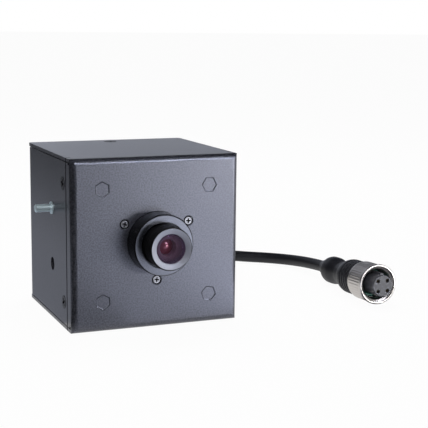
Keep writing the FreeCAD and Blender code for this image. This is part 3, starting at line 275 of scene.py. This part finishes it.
def rolled_thread(angle, along, out):
    """Thread that runs out at the collar and at the point."""
    if out <= thread_core or along <= thread_start:
        return out
    phase = (along / thread_pitch - angle / math.tau) % 1.0
    fade = min(
        1.0, max(0.0, (along - thread_start) / collar_fade), max(0.0, (thread_end - along) / point_fade))
    return out - thread_depth * abs(2 * phase - 1) * fade


stud = bmesh.new()
stud_place = axis_place((-30.5, -4.3, 40.1), (-1, 0, 0))
foot_and_collar = [
    (-2.0, 0.01), (-2.0, 2.6, 0.15), (-1.2, 2.6), (-1.2, thread_radius), (0.0, thread_radius),
    (0.0, 2.25), (0.5, 2.25, 0.15), (0.5, 1.5)]
shank = [(0.6 + thread_pitch / 8 * step, thread_radius) for step in range(84)]
point = [(6.2, 1.05), (6.2, 0.01)]
turn(stud, foot_and_collar + shank + point, stud_place, 64, swell=rolled_thread)
finished_piece("side_stud_thread", stud, zinc, "camera", "side_stud")


# Lens mount: a turned aluminium collar, anodised black, that comes through the front sheet from behind;
# its front faces are painted a lighter metallic grey, a painted sheen for the light they catch. A rubber
# gasket seals it, three countersunk screws hold it, and a ring locks the focus.
anodised = Finish("black_anodised")
lathe_lines = anodised.noise(5200, 2.0)
collar_front = -0.0369
# Painted sheen: faces in front of this plane are lighter grey and metallic, for the front light they
# reflect.
front_painted_sheen = anodised.part("Y") < collar_front
anodised.shade({
    "Base Color": anodised.between(
        front_painted_sheen * (0.6 + 0.4 * lathe_lines), (0.004, 0.004, 0.005), (0.120, 0.124, 0.142)),
    "Metallic": front_painted_sheen,
    "Roughness": 0.20 + 0.08 * lathe_lines,
    "Specular IOR Level": 0.35,
    "Specular Tint": (0.88, 0.92, 1.0),
    "Normal": anodised.bump(lathe_lines, 0.00003, 0.2),
})
dress(anodised, "lens_mount", "lens_lock_ring", "lens_spacer", "lens_rear_ring")

plated = Finish("plated_screw_steel")
plate_rub = plated.noise(1800, 3.0)
plated.shade({
    "Base Color": plated.between(plate_rub, (0.30, 0.30, 0.31), (0.46, 0.46, 0.47)),
    "Metallic": 1.0,
    "Roughness": 0.30 + 0.14 * plate_rub,
    "Normal": plated.bump(plate_rub, 0.00003, 0.2),
})
dress(plated, "sensor_screws", "board_screws", "board_spacers", "lead_stop")

# The mount's screw heads are bright plated steel on top, rubbed unevenly; their cross recesses and
# countersunk edges are painted near black, a painted shade for the shadow in the recess and around the
# head.
head_steel = Finish("screw_steel_painted_recess_shade")
head_rub = head_steel.noise(2600, 3.0)
head_plane = -0.02937
# Painted shade: all of the head behind its top plane is near black and not metallic.
head_top_outside_painted_shade = head_steel.part("Y") < head_plane
head_steel.shade({
    "Base Color": head_steel.between(
        head_top_outside_painted_shade * (0.7 + 0.3 * head_rub), (0.004, 0.004, 0.005), (0.27, 0.27, 0.29)),
    "Metallic": head_top_outside_painted_shade,
    "Roughness": 0.46 + 0.10 * head_rub,
    "Specular IOR Level": 0.1,
    "Normal": head_steel.bump(head_rub, 0.00003, 0.2),
})
lens_height, screw_circle = 30.4, 13.45
head_sides = 48
head_depth, recess_depth, recess_taper = 0.09, 0.8, 0.7
screw_profile = [
    (head_depth, 1.26), (0.16, 1.31), (0.36, 1.32), (0.18, 1.68), (0.86, 1.0), (4.2, 1.0), (4.2, 0.00002)]
arm, flank = 0.84, 0.25
cross_corners = [
    (flank, arm), (-flank, arm), (-flank, flank), (-arm, flank), (-arm, -flank), (-flank, -flank),
    (-flank, -arm), (flank, -arm), (flank, -flank), (arm, -flank), (arm, flank), (flank, flank)]
screw_forms = bmesh.new()
for clock, cross_turn in ((30, 4), (150, 20), (270, 8)):
    heading = math.radians(clock)
    centre = (screw_circle * math.cos(heading), front_face, lens_height + screw_circle * math.sin(heading))
    seat = axis_place(centre, (0, 1, 0))
    rim = turn(screw_forms, screw_profile, seat, head_sides, closed=False)[0]
    turned_seat = seat @ Matrix.Rotation(math.radians(cross_turn), 4, "Z")
    recess_edge, recess_floor = (
        [screw_forms.verts.new(turned_seat @ (Vector((x * taper, y * taper, depth)) * MM))
         for x, y in cross_corners]
        for depth, taper in ((head_depth, 1.0), (recess_depth, recess_taper)))
    for after in range(len(cross_corners)):
        before = after - 1
        screw_forms.faces.new(
            (recess_edge[before], recess_edge[after], recess_floor[after], recess_floor[before]))
    screw_forms.faces.new(recess_floor)
    starts = [round((math.degrees(math.atan2(y, x)) + cross_turn) / (360 / head_sides)) % head_sides
              for x, y in cross_corners]
    for after in range(len(cross_corners)):
        before = after - 1
        arc_steps = (starts[after] - starts[before]) % head_sides
        arc = [rim[(starts[before] + step) % head_sides] for step in range(arc_steps + 1)]
        screw_forms.faces.new((recess_edge[after], recess_edge[before], *arc))
finished_piece("lens_screw_heads", screw_forms, head_steel, "camera", "lens_mount_screws")

gasket_rubber = Finish("gasket_rubber")
gasket_dust = gasket_rubber.noise(1400, 4.0)
gasket_rubber.shade({
    "Base Color": gasket_rubber.between(gasket_dust, (0.012, 0.012, 0.012), (0.030, 0.030, 0.031)),
    "Roughness": 0.62 + 0.25 * gasket_dust,
    "Normal": gasket_rubber.bump(gasket_dust, 0.00006, 0.3),
})
dress(gasket_rubber, "lens_mount_gasket")


# Lens barrel: turned aluminium, black outside; its face around the glass is painted a lighter satin metal,
# a painted sheen for the light it catches, and its bore is painted plum, a painted reflection of the
# coated glass. Its threaded stem screws into the mount to focus.
lens_place = axis_place((0, front_face, lens_height), (0, -1, 0))


def off_lens_axis(finish):
    """Distance from the lens's axis, in metres."""
    return finish.node(
        "ShaderNodeVectorMath", {"operation": "DISTANCE"},
        {0: finish.stretched((1, 0, 1)), 1: (0, 0, lens_height * MM)}, out="Value")


barrel_metal = Finish("barrel_aluminium")
barrel_turns = barrel_metal.noise(2600, 3.0)
face_plane, face_radius = -0.04355, 0.00705
bore_plane, bore_radius = -0.04350, 0.00520
barrel_inward, off_axis = barrel_metal.part("Y"), off_lens_axis(barrel_metal)
# Painted sheen: the face around the glass is lighter and metallic.
face_painted_sheen = (barrel_inward < face_plane) * (off_axis < face_radius)
# Painted reflection: the bore behind the front glass is plum.
bore_painted_reflection = (barrel_inward > bore_plane) * (off_axis < bore_radius)
black_and_sheen = barrel_metal.between(face_painted_sheen, (0.006, 0.006, 0.007), (0.16, 0.163, 0.182))
barrel_metal.shade({
    "Base Color": barrel_metal.between(bore_painted_reflection, black_and_sheen, (0.15, 0.085, 0.145)),
    "Metallic": face_painted_sheen,
    "Roughness": 0.50 + 0.08 * barrel_turns,
    "Specular IOR Level": 0.12,
    "Normal": barrel_metal.bump(barrel_turns, 0.00003, 0.2),
})
barrel_radius, stem_radius, glass_seat = 7.45, 5.95, 8.0
barrel = bmesh.new()
turn(barrel, [
    (14.1, 5.15, 0.06), (14.7, 7.02, 0.10), (14.35, barrel_radius, 0.12),
    (10.9, barrel_radius), (10.75, 7.3), (10.6, 7.3), (10.45, barrel_radius),
    (6.1, barrel_radius, 0.2), (6.1, stem_radius), (-6.2, stem_radius), (-6.2, 4.4),
    (glass_seat, 4.4), (glass_seat, 2.9), (11.15, 2.9, 0.3), (11.15, 5.15),
], lens_place, 160)
finished_piece("lens_barrel_turned", barrel, barrel_metal, "lens", "lens_barrel")


# Lens glasses: three ground glasses. The front one is domed and coated; it is painted dark plum and
# partly clear, a painted reflection of its coating that grows more opaque towards the rim. The middle
# and rear glasses are painted red, a painted reflection for the red glow from deep inside. A flat
# filter of pale blue glass lies behind them, before the sensor.
coated = Finish("coated_lens_glass")
smear = coated.noise(300, 2.0)
glass_radius = 0.00515
rim_share = (off_lens_axis(coated) / glass_radius) ** 3
# Painted reflection: the plum colour and partial cover stand in for the coating's reflection.
coated.shade({
    "Base Color": coated.between(rim_share, (0.085, 0.052, 0.075), (0.060, 0.042, 0.085)),
    "Roughness": 0.05 + 0.04 * smear,
    "IOR": 1.7,
    "Specular IOR Level": 0.01,
    "Specular Tint": (0.80, 0.45, 1.0),
    "Alpha": 0.12 + 0.46 * rim_share,
})
dress(coated, "lens_front_element")

inner_glass = Finish("inner_glass_painted_red_reflection")
inner_haze = inner_glass.noise(500, 2.0)
# Painted reflection: the red base colour stands in for the red glow reflected inside the lens.
inner_glass.shade({
    "Base Color": inner_glass.between(inner_haze, (0.150, 0.012, 0.030), (0.210, 0.018, 0.042)),
    "Roughness": 0.15 + 0.03 * inner_haze,
    "IOR": 1.9,
    "Specular IOR Level": 1.0,
    "Specular Tint": (1.0, 0.50, 0.64),
})
dress(inner_glass, "lens_rear_element")
bulge_height, bulge_radius, bulge_steps = 1.3, 2.8, 12
bulge = [(glass_seat + bulge_height * (1 - (step / bulge_steps) ** 2),
          0.001 + bulge_radius * step / bulge_steps) for step in range(bulge_steps + 1)]
hollow = [(glass_seat, 4.38, 0.1), (5.9, 4.38), (5.4, 3.0), (5.05, 1.5), (5.0, 0.001)]
middle_glass = bmesh.new()
turn(middle_glass, bulge + hollow, lens_place, 96)
finished_piece("lens_middle_ground", middle_glass, inner_glass, "lens", "lens_middle_element")

filter_glass = Finish("infrared_filter_glass")
filter_haze = filter_glass.noise(400, 2.0)
filter_glass.shade({
    "Base Color": filter_glass.between(filter_haze, (0.12, 0.30, 0.36), (0.18, 0.38, 0.42)),
    "Roughness": 0.06 + 0.05 * filter_haze,
})
dress(filter_glass, "infrared_filter")


# Boards: glass-fibre laminate with green mask over copper tracks; sensor board on the mount, main and
# power boards on the standoffs.
mask_green = Finish("solder_mask")
tracks = mask_green.node("ShaderNodeTexBrick", {"offset": 0.37, "offset_frequency": 3}, {
    "Vector": mask_green.stretched((1.0, 0.0, 1.0)), "Scale": 260, "Mortar Size": 0.035,
    "Color1": (0, 0, 0), "Color2": (0.25, 0.25, 0.25), "Mortar": (1, 1, 1)}, out="Fac")
weave = mask_green.noise(2600, 2.0)
mask_green.shade({
    "Base Color": mask_green.between(
        0.75 * tracks + 0.25 * weave, (0.010, 0.075, 0.032), (0.028, 0.16, 0.060)),
    "Roughness": 0.32 + 0.16 * weave,
    "Normal": mask_green.bump(tracks, 0.00004, 0.4),
})
dress(mask_green, "sensor_board", "main_board", "power_board")


# Chips, headers, coils and capacitors: moulded black packages, cream headers and sockets, a taped
# transformer and sleeved cans, soldered to the boards; the sink is an extruded fin block on a soft pad.
def moulded(name, dark, light, roughness, spots):
    """Plain moulded finish with a fine matt grain."""
    finish = Finish(name)
    mould = finish.noise(spots, 3.0)
    finish.shade({
        "Base Color": finish.between(mould, dark, light),
        "Roughness": roughness + 0.18 * mould,
        "Normal": finish.bump(mould, 0.00005, 0.25),
    })
    return finish


chip_black = moulded("chip_epoxy", (0.014, 0.014, 0.015), (0.036, 0.036, 0.038), 0.42, 3000)
dress(chip_black, "processor", "memory_chips", "network_transformer", "power_choke", "image_sensor")
header_plastic = moulded("header_nylon", (0.55, 0.50, 0.40), (0.72, 0.67, 0.56), 0.40, 1500)
dress(header_plastic, "link_socket", "link_header", "lead_socket", "lead_plug", "pin_header")
coil_plastic = moulded("coil_tape", (0.50, 0.36, 0.05), (0.66, 0.50, 0.10), 0.35, 900)
dress(coil_plastic, "power_transformer")
can_sleeve = moulded("capacitor_sleeve", (0.020, 0.024, 0.050), (0.040, 0.046, 0.085), 0.30, 1100)
dress(can_sleeve, "capacitors")
soft_pad = moulded("thermal_pad_silicone", (0.28, 0.32, 0.40), (0.40, 0.45, 0.54), 0.60, 2000)
dress(soft_pad, "thermal_pad")

sink_metal = Finish("sink_aluminium")
drawn = sink_metal.noise(2200, 3.0, sink_metal.stretched((1.0, 1.0, 0.05)))
sink_metal.shade({
    "Base Color": sink_metal.between(drawn, (0.50, 0.51, 0.53), (0.72, 0.73, 0.75)),
    "Metallic": 1.0,
    "Roughness": 0.28 + 0.20 * drawn,
    "Normal": sink_metal.bump(drawn, 0.00004, 0.3),
})
dress(sink_metal, "heat_sink")


# Lead entry: a moulded rubber grommet snapped in the back wall, with a tapered ribbed sleeve around the
# lead. The same black compound covers the lead and the connector's moulded body.
jacket = Finish("black_jacket")
matt = jacket.noise(1900, 3.0)
wipe = jacket.noise(120, 3.0)
jacket.shade({
    "Base Color": jacket.between(0.5 * matt + 0.5 * wipe, (0.006, 0.006, 0.009), (0.014, 0.014, 0.019)),
    "Roughness": 0.40 + 0.14 * matt + 0.08 * wipe,
    "Specular IOR Level": 0.35,
    "Normal": jacket.bump(matt, 0.00004, 0.22),
})
dress(jacket, "inner_lead")
grommet = bmesh.new()
grommet_place = axis_place((11.0, 29.5, 13.0), (0, 1, 0))
lead_bore, flange_end, sleeve_radius, sleeve_taper, sleeve_length = 2.37, 2.2, 4.4, 1.2, 7.8
sleeve = [
    (-3.2, lead_bore), (-3.2, 5.6, 0.3), (-1.2, 5.6, 0.3), (-1.2, 4.45), (0.0, 4.45),
    (0.0, 6.0, 0.2), (flange_end, 6.0, 0.7), (flange_end, sleeve_radius, 0.3)]
for rib in range(4):
    along = 2.9 + 1.7 * rib
    root = sleeve_radius - sleeve_taper * (along - flange_end) / sleeve_length
    sleeve += [
        (along, root, 0.2), (along + 0.1, root - 0.35, 0.12),
        (along + 0.6, root - 0.4, 0.12), (along + 0.7, root - 0.1, 0.2)]
sleeve += [(10.0, 3.2, 0.3), (10.0, lead_bore)]
turn(grommet, sleeve, grommet_place, 96)
finished_piece("lead_grommet_sleeve", grommet, jacket, "camera", "lead_grommet")


# Connector: a moulded body with a ribbed grip, a waist and a round bulb, a four-hole insert with a key,
# gold-flashed sockets, a green seal and a knurled nickel-plated brass nut that turns on it.
mouth = Vector((89.03, -29.69, 8.077))
backward = Vector((0.043543, 0.99729, -0.059306))
connector_place = axis_place(mouth, backward)
grip_radius, groove_radius, body_end = 6.8, 6.4, 46.0
front_end = [(6.0, 0.01), (6.0, 5.15), (11.6, 5.15), (11.6, grip_radius, 0.5)]
grip = []
for groove in range(4):
    along = 13.0 + 1.9 * groove
    grip += [
        (along, grip_radius, 0.25), (along + 0.15, groove_radius, 0.12),
        (along + 0.85, groove_radius, 0.12), (along + 1.0, grip_radius, 0.25)]
shoulder = [(21.0, grip_radius, 0.8), (23.0, 6.3, 0.8), (25.5, 5.0, 1.0)]
waist_radius, bulb_rise, waist_steps = 4.4, 1.1, 7
waist = [(29.5 + 0.9 * step, waist_radius + bulb_rise * math.sin(math.pi / 2 * (step / waist_steps)) ** 2)
         for step in range(waist_steps + 1)]
tail_end = [
    (37.0, 5.5), (38.5, 5.48), (39.6, 5.2), (40.4, 4.7), (40.8, 4.2), (42.0, 3.6),
    (body_end, 3.0, 0.3), (body_end, 0.01)]
body_form = bmesh.new()
turn(body_form, front_end + grip + shoulder + waist + tail_end, connector_place, 112)
connector_body = finished_piece(
    "connector_moulding", body_form, jacket, "camera", "connector_body")

nickel = Finish("nickel_plate")
brushed = nickel.noise(2600, 3.0)
tarnish = nickel.noise(260, 3.0)
nickel.shade({
    "Base Color": nickel.between(0.5 * brushed + 0.5 * tarnish, (0.44, 0.41, 0.39), (0.62, 0.59, 0.56)),
    "Metallic": 1.0,
    "Roughness": 0.32 + 0.10 * brushed,
    "Normal": nickel.bump(brushed, 0.00003, 0.2),
})
flutes, flute_depth, flute_fade = 40, 0.10, 0.4
flute_start, flute_end, nut_radius, nut_outside = 1.7, 10.1, 7.37, 7.2


def knurl(angle, along, out):
    """Shallow straight flutes between the nut's two plain bands."""
    if out < nut_outside or not flute_start <= along <= flute_end:
        return out
    ends = min(1.0, (along - flute_start) / flute_fade, (flute_end - along) / flute_fade)
    return out - flute_depth * ends * max(0.0, math.cos(flutes * angle)) ** 0.7


lip = [(0.6, 6.70), (0.0, 6.74, 0.36), (0.0, 7.62, 0.44), (1.2, 7.62, 0.12), (1.3, nut_radius)]
fluted = [(flute_start + 0.2 * step, nut_radius) for step in range(43)]
nut_inside = [(11.3, nut_radius, 0.4), (11.3, 5.2), (9.6, 5.2), (9.6, 5.9), (1.0, 5.9, 0.2)]
nut_form = bmesh.new()
turn(nut_form, lip + fluted + nut_inside, connector_place, 320, swell=knurl)
nut = finished_piece("coupling_nut_knurled", nut_form, nickel, "coupling_nut", "coupling_nut")

carrier_plastic = moulded("insert_nylon", (0.045, 0.046, 0.056), (0.075, 0.076, 0.090), 0.38, 1700)
dress(carrier_plastic, "contact_carrier")
gold = Finish("contact_gold")
gold_rub = gold.noise(2500, 3.0)
gold.shade({
    "Base Color": gold.between(gold_rub, (0.30, 0.21, 0.08), (0.45, 0.32, 0.13)),
    "Metallic": 1.0,
    "Roughness": 0.22 + 0.15 * gold_rub,
})
dress(gold, "contact_sockets")
seal_green = moulded("green_seal", (0.004, 0.055, 0.040), (0.010, 0.100, 0.070), 0.42, 1500)
dress(seal_green, "face_seal")


# Lead: a round screened cable in the black jacket, a short tail that leaves the back wall, falls to the
# table and bends round beside the box into the connector.
lead_radius, straight_run = 2.35, 12.1
tail = mouth + body_end * backward
route = [
    (11.0, 39.5, 13.0), (11.0, 54.5, 13.0), (18.9, 70.7, 8.5), (34.9, 79.0, 5.1), (52.3, 76.3, 3.6),
    (68.7, 63.6, 2.5), (86.3, 50.9, 2.6), tail + straight_run * backward, tail,
]
lead_curve = bpy.data.curves.new("lead_line", "CURVE")
lead_curve.dimensions = "3D"
lead_curve.bevel_depth = lead_radius * MM
lead_curve.bevel_resolution = 8
lead_curve.resolution_u = 24
lead_curve.use_fill_caps = True
spline = lead_curve.splines.new("NURBS")
spline.points.add(len(route) - 1)
for bend, at in zip(spline.points, route):
    bend.co = (*(Vector(at) * MM), 1.0)
spline.order_u = 3
spline.use_endpoint_u = True
lead = bpy.data.objects.new("lead_cable", lead_curve)
bpy.context.scene.collection.objects.link(lead)
lead_curve.materials.append(jacket.material)
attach(lead, "camera")
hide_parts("lead")


# Studio: the camera at the photograph's place, a white table in a white room, and soft lamps to the
# right, to the left and above. Dark and bright cards, seen only in reflections, stand around the box
# and lie on the table: they give the sheets their tones and the folds their lines.
azimuth, elevation, roll = (math.radians(angle) for angle in (-22.729, 9.522, 0.580))
behind = Vector((
    math.sin(azimuth) * math.cos(elevation), -math.cos(azimuth) * math.cos(elevation), math.sin(elevation)))
camera_data = bpy.data.cameras.new("camera_view")
camera_data.sensor_width = 36.0
camera_data.lens = 94.345
camera_data.clip_start = 0.01
camera = bpy.data.objects.new("camera_view", camera_data)
camera.location = (-0.129163, -0.388724, 0.104254)
camera.rotation_mode = "QUATERNION"
camera.rotation_quaternion = behind.to_track_quat("Z", "Y") @ Quaternion((0, 0, 1), roll)
bpy.context.scene.collection.objects.link(camera)
bpy.context.scene.camera = camera


def card(name, centre, size, facing, finish):
    """Flat stage board."""
    half_x, half_y = size[0] / 2, size[1] / 2
    mesh = bpy.data.meshes.new(name)
    corners = [(-half_x, -half_y, 0), (half_x, -half_y, 0), (half_x, half_y, 0), (-half_x, half_y, 0)]
    mesh.from_pydata(corners, [], [(0, 1, 2, 3)])
    mesh.materials.append(finish.material)
    board = bpy.data.objects.new(name, mesh)
    board.location = centre
    board.rotation_mode = "QUATERNION"
    board.rotation_quaternion = Vector(facing).to_track_quat("Z", "Y")
    bpy.context.scene.collection.objects.link(board)
    return board


def seen_white(finish):
    """1 for the rays that should see the white background."""
    return sum(finish.node("ShaderNodeLightPath", out=kind) for kind in (
        "Is Camera Ray", "Is Glossy Ray", "Is Transmission Ray"))


table_white = Finish("table_white")
paper = table_white.node("ShaderNodeBsdfDiffuse", None, {"Color": (0.88, 0.88, 0.88)})
white_glow = table_white.node("ShaderNodeEmission", None, {"Color": (1, 1, 1), "Strength": 1.0})
table_white.node("ShaderNodeOutputMaterial", None, {"Surface": table_white.node(
    "ShaderNodeMixShader", None, {0: 0.96 * seen_white(table_white), 1: paper, 2: white_glow})})
card("table", (0, 0, -0.00005), (30, 30), (0, 0, 1), table_white)

room = Finish("white_room", bpy.data.worlds)
room.node("ShaderNodeOutputWorld", None, {"Surface": room.node("ShaderNodeBackground", None, {
    "Color": (1, 1, 1), "Strength": 0.26 + 0.74 * seen_white(room)})})
bpy.context.scene.world = room.material

# Each card's glow runs from its first tone at the board's own +X edge to its last at the other.
card_tint = (0.84, 0.88, 1)
for name, centre, size, facing, first_tone, last_tone in (
        ("left_flag", (-0.55, 0.20, 0.40), (2.4, 0.8), (1, 0, 0), 0.01, 0.01),
        ("top_flag", (0.1, 0.30, 0.75), (1.8, 1.6), (0, 0, -1), 0.02, 0.02),
        ("front_left_flag", (-0.17, -1.01, 0.38), (0.86, 0.74), (0, 1, 0), 0.01, 0.01),
        ("front_high_flag", (0.55, -1.0, 0.49), (0.90, 0.52), (0, 1, 0), 0.01, 0.01),
        ("front_strip_card", (0.41, -0.99, 0.61), (0.38, 0.26), (0, 1, 0), 14.0, 110.0),
        ("right_flag", (0.75, 0.45, 0.35), (1.3, 0.7), (-1, 0, 0), 0.02, 0.02),
        ("back_flag", (0.475, 1.1, 0.16), (1.05, 0.32), (0, -1, 0), 1.60, 1.60),
        ("back_left_flag", (-0.45, 1.1, 0.16), (0.80, 0.32), (0, -1, 0), 0.02, 0.02),
        ("back_high_flag", (0.1, 1.1, 0.53), (1.8, 0.42), (0, -1, 0), 0.01, 0.01),
        ("back_window_card", (-0.055, 1.09, 0.50), (0.59, 0.35), (0, -1, 0), 0.7, 0.7),
        ("front_table_flag", (-0.293, -0.51, 0.0004), (0.514, 0.99), (0, 0, 1), 0.0, 0.04),
        ("front_near_flag", (0.007, -0.52, 0.0004), (0.086, 0.97), (0, 0, 1), 0.42, 0.42),
        ("front_far_flag", (0.12, -0.58, 0.0004), (0.14, 0.42), (0, 0, 1), 0.05, 0.05),
        ("right_table_card", (0.185, -0.2625, 0.0004), (0.27, 0.215), (0, 0, 1), 4.0, 4.0),
        ("foot_card", (0.029, -0.095, 0.0006), (0.074, 0.12), (0, 0, 1), 1.5, 7.0),
        ("nut_table_flag", (0.0925, -0.072, 0.0003), (0.065, 0.096), (0, 0, 1), 0.12, 0.12),
        ("far_table_flag", (-0.40, 0.45, 0.0004), (0.30, 0.96), (0, 0, 1), 0.02, 0.02),
        ("left_table_flag", (-0.160, 0.4575, 0.0004), (0.18, 0.945), (0, 0, 1), 0.0, 0.84),
        ("wall_foot_flag", (-0.0505, 0.4575, 0.0004), (0.039, 0.945), (0, 0, 1), 0.58, 0.58)):
    dim = Finish(name)
    share = 0.5 - dim.part("X") / size[0]
    card_glow = dim.node("ShaderNodeEmission", None, {
        "Color": card_tint, "Strength": first_tone + (last_tone - first_tone) * share ** 3})
    dim.node("ShaderNodeOutputMaterial", None, {"Surface": card_glow})
    flag = card(name, centre, size, facing, dim)
    flag.visible_camera = flag.visible_diffuse = flag.visible_shadow = flag.visible_transmission = False

box_centre = Vector((0, 0, 0.03))
for name, at, size, watts in (
        ("right_softbox", (0.461, -0.591, 0.031), (0.36, 0.055), 2.45),
        ("left_softbox", (-0.30, -0.65, 0.60), (0.30, 0.30), 1.8),
        ("top_softbox", (0.10, 0.25, 0.70), (0.40, 0.40), 2.5)):
    lamp_data = bpy.data.lights.new(name, "AREA")
    lamp_data.shape = "RECTANGLE"
    lamp_data.size, lamp_data.size_y = size
    lamp_data.energy = watts
    lamp = bpy.data.objects.new(name, lamp_data)
    lamp.location = at
    lamp.rotation_mode = "QUATERNION"
    lamp.rotation_quaternion = (Vector(at) - box_centre).to_track_quat("Z", "Y")
    lamp.visible_glossy = name != "top_softbox"
    bpy.context.scene.collection.objects.link(lamp)

bpy.context.scene.view_settings.view_transform = "Standard"
